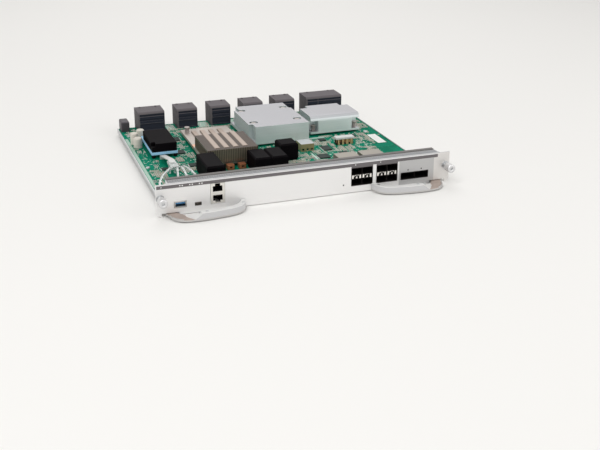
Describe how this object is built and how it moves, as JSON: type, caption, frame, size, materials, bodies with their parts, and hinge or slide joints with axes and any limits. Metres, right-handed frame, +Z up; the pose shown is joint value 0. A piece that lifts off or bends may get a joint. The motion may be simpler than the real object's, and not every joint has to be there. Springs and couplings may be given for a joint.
{
  "type": "supervisor module",
  "caption": "Plug-in processor card on a steel tray with a folded faceplate, pluggable ports, ejector levers, captive screws, finned coolers and rear backplane connectors.",
  "frame": {"origin": "middle of the footprint, at the height of the faceplate's lower edge", "axes": "+X to the right seen from the front, +Y to the rear towards the backplane, +Z up"},
  "size_m": [0.383, 0.3746, 0.0412],
  "materials": {
    "plate_metal": "satin",
    "strip_print": "satin",
    "gasket_metal": "satin",
    "seal_foam": "matte",
    "tray_metal": "satin",
    "board_green": "satin",
    "screw_metal": "polished",
    "socket_shell": "polished",
    "usb_tongue": "matte",
    "jack_black": "matte",
    "cage_metal": "satin",
    "latch_metal": "satin",
    "connector_black": "matte",
    "button_plastic": "matte",
    "knob_metal": "satin",
    "lever_sheet": "satin",
    "lever_paint": "satin",
    "cooler_alu": "satin",
    "fin_brown": "satin",
    "pipe_copper": "satin",
    "base_copper": "satin",
    "chip_black": "satin",
    "module_black": "satin",
    "winding_copper": "satin",
    "clock_metal": "satin",
    "cap_white": "matte",
    "capacitor_cream": "satin",
    "edge_blue": "satin",
    "guide_metal": "satin",
    "backplane_grey": "satin",
    "clear_plastic": "polished"
  },
  "bodies": {
    "module": {"faceplate": "plate_metal", "indicator_strip": "strip_print", "top_gasket": "gasket_metal", "rear_seal": "seal_foam", "carrier_tray": "tray_metal", "side_brackets": "plate_metal", "circuit_board": "board_green", "board_screws": "screw_metal", "usb_shell": "socket_shell", "usb_tongue": "usb_tongue", "mini_usb_socket": "socket_shell", "jack_shield": "socket_shell", "jack_body": "jack_black", "sfp_cage_left": "cage_metal", "sfp_cage_right": "cage_metal", "sfp_latches": "latch_metal", "qsfp_cage": "cage_metal", "host_connectors": "connector_black", "reset_switch": "jack_black", "ferrules": "screw_metal", "cpu_base": "base_copper", "cpu_fins": "fin_brown", "heat_pipes": "pipe_copper", "cooler_bases": "cooler_alu", "cooler_fins_large": "cooler_alu", "cooler_fins_small": "cooler_alu", "cooler_screws": "screw_metal", "chip_packages": "chip_black", "power_modules": "module_black", "inductors": "winding_copper", "clock_module": "clock_metal", "transformer_legs": "winding_copper", "transformer_cap": "cap_white", "board_chips": "chip_black", "capacitors": "capacitor_cream", "management_board": "edge_blue", "management_supports": "jack_black", "management_cooler": "module_black", "guide_receptacle": "guide_metal", "backplane_connectors": "backplane_grey", "backplane_connector_wide": "backplane_grey", "light_pipes": "clear_plastic", "light_pipe_bracket": "cap_white", "lever_pins": "screw_metal", "captive_spring_left": "screw_metal", "captive_spring_right": "screw_metal"},
    "lever_left": {"lever_arm_left": "lever_sheet", "lever_handle_left": "lever_paint", "lever_rivets_left": "screw_metal"},
    "carriage_left": {"thrust_washer_left": "screw_metal"},
    "captive_left": {"captive_knob_left": "knob_metal", "captive_screw_left": "screw_metal"},
    "lever_right": {"lever_arm_right": "lever_sheet", "lever_handle_right": "lever_paint", "lever_rivets_right": "screw_metal"},
    "carriage_right": {"thrust_washer_right": "screw_metal"},
    "captive_right": {"captive_knob_right": "knob_metal", "captive_screw_right": "screw_metal"},
    "reset": {"reset_button": "button_plastic"}
  },
  "joints": [
    {"name": "lever_left_swing", "type": "hinge", "parent": "module", "child": "lever_left", "pos_m": [-0.1745, -0.15325, 0.0021], "axis": [0, 0, 1], "range_deg": [-45, 0]},
    {"name": "lever_right_swing", "type": "hinge", "parent": "module", "child": "lever_right", "pos_m": [0.1745, -0.15325, 0.0021], "axis": [0, 0, 1], "range_deg": [0, 45]},
    {"name": "captive_left_push", "type": "slide", "parent": "module", "child": "carriage_left", "axis": [0, 1, 0], "range_m": [0, 0.005], "stiffness_N_per_m": 400, "springref_m": -0.003, "deforming": ["captive_spring_left"]},
    {"name": "captive_left_turn", "type": "hinge", "parent": "carriage_left", "child": "captive_left", "pos_m": [-0.1859, -0.16875, 0.0225], "axis": [0, 1, 0], "continuous": true},
    {"name": "captive_right_push", "type": "slide", "parent": "module", "child": "carriage_right", "axis": [0, 1, 0], "range_m": [0, 0.005], "stiffness_N_per_m": 400, "springref_m": -0.003, "deforming": ["captive_spring_right"]},
    {"name": "captive_right_turn", "type": "hinge", "parent": "carriage_right", "child": "captive_right", "pos_m": [0.1859, -0.16875, 0.0225], "axis": [0, 1, 0], "continuous": true},
    {"name": "reset_press", "type": "slide", "parent": "module", "child": "reset", "axis": [0, 1, 0], "range_m": [0, 0.0006], "stiffness_N_per_m": 600, "springref_m": -0.0004}
  ]
}
